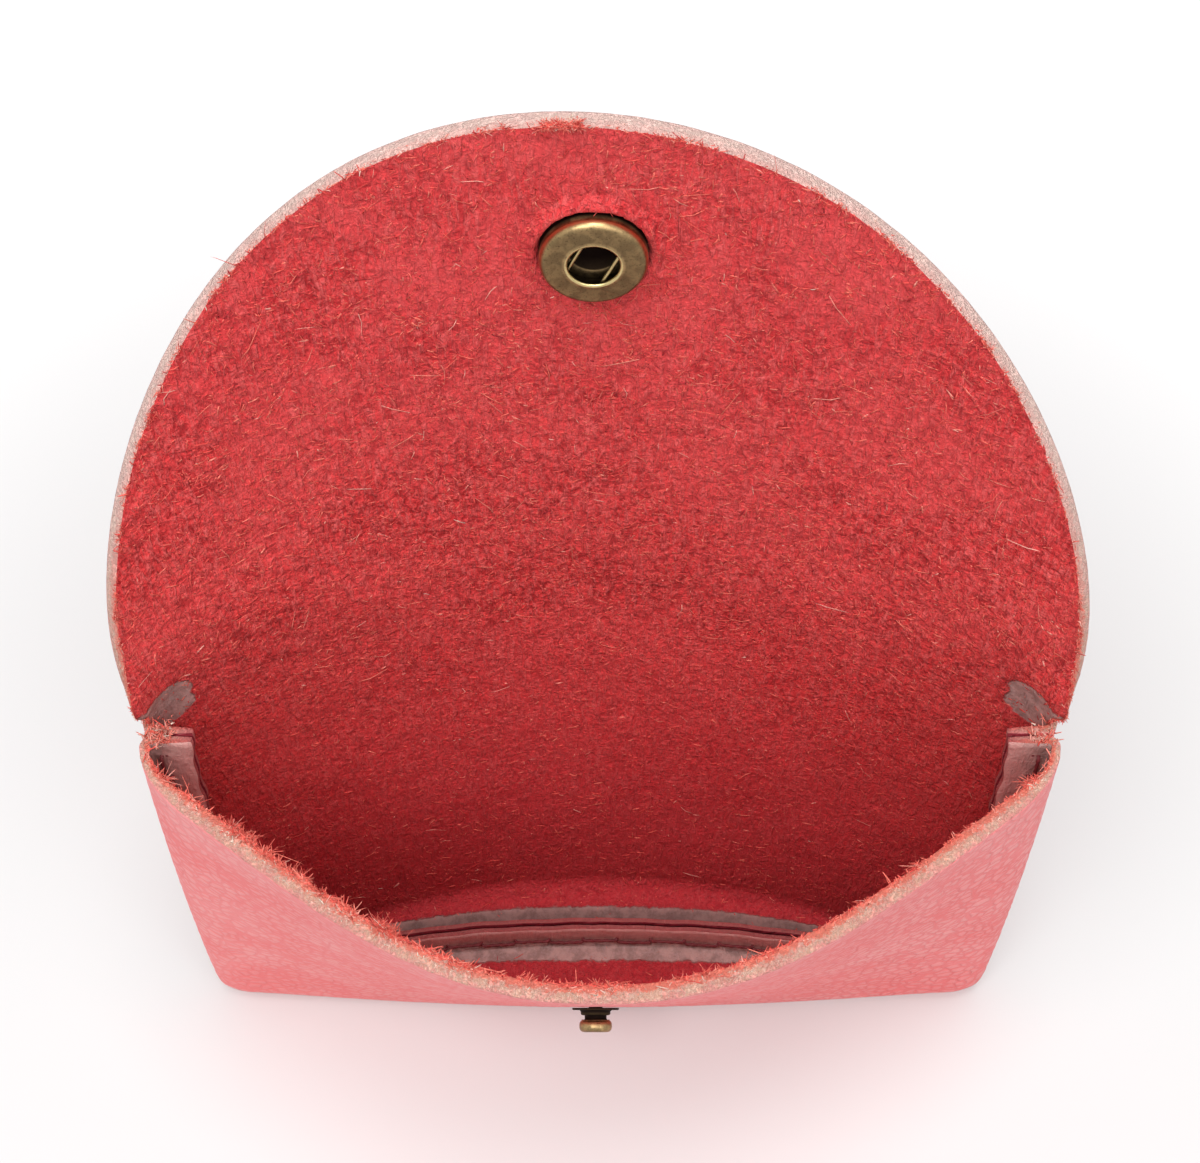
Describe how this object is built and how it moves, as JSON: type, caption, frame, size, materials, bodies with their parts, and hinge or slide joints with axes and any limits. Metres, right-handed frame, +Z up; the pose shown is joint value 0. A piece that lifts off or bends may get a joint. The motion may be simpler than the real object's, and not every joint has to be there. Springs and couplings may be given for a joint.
{
  "type": "card holder",
  "caption": "Small two-panel turned leather pouch for cards, its mouth bowed open, with a half-moon flap that folds over and shuts on a brass spring snap.",
  "frame": {"origin": "on the flat base, in the middle of the width, in the plane of the side seams' upper ends", "axes": "+Z up from the base to the standing flap, +X along the bottom seam, -Y out of the front panel that carries the stud"},
  "size_m": [0.1118, 0.0568, 0.1483],
  "materials": {
    "pink_leather": "pebbled grain outside, raw red suede inside",
    "antique_brass": "antiqued, dark in the recesses",
    "waxed_thread": "waxed, dark red"
  },
  "bodies": {
    "pouch": {"back_panel": "pink_leather", "front_panel": "pink_leather", "first_saddle_thread": "waxed_thread", "second_saddle_thread": "waxed_thread", "stud": "antique_brass", "stud_rivet": "antique_brass"},
    "roll": {"flap_root": "pink_leather"},
    "flap": {"flap": "pink_leather", "snap_cap": "antique_brass", "socket_shell": "antique_brass", "socket_plate": "antique_brass", "socket_spring": "antique_brass"}
  },
  "joints": [
    {"name": "flap_fold", "type": "hinge", "parent": "pouch", "child": "roll", "pos_m": [0, -0.00695, 0.07864], "axis": [1, 0, 0], "range_deg": [0, 101]},
    {"name": "flap_roll", "type": "hinge", "parent": "roll", "child": "flap", "pos_m": [0, -0.00695, 0.07864], "axis": [1, 0, 0], "range_deg": [0, 101]}
  ],
  "couplings": [
    {"joint": "flap_roll", "follows": "flap_fold", "ratio": 1}
  ]
}
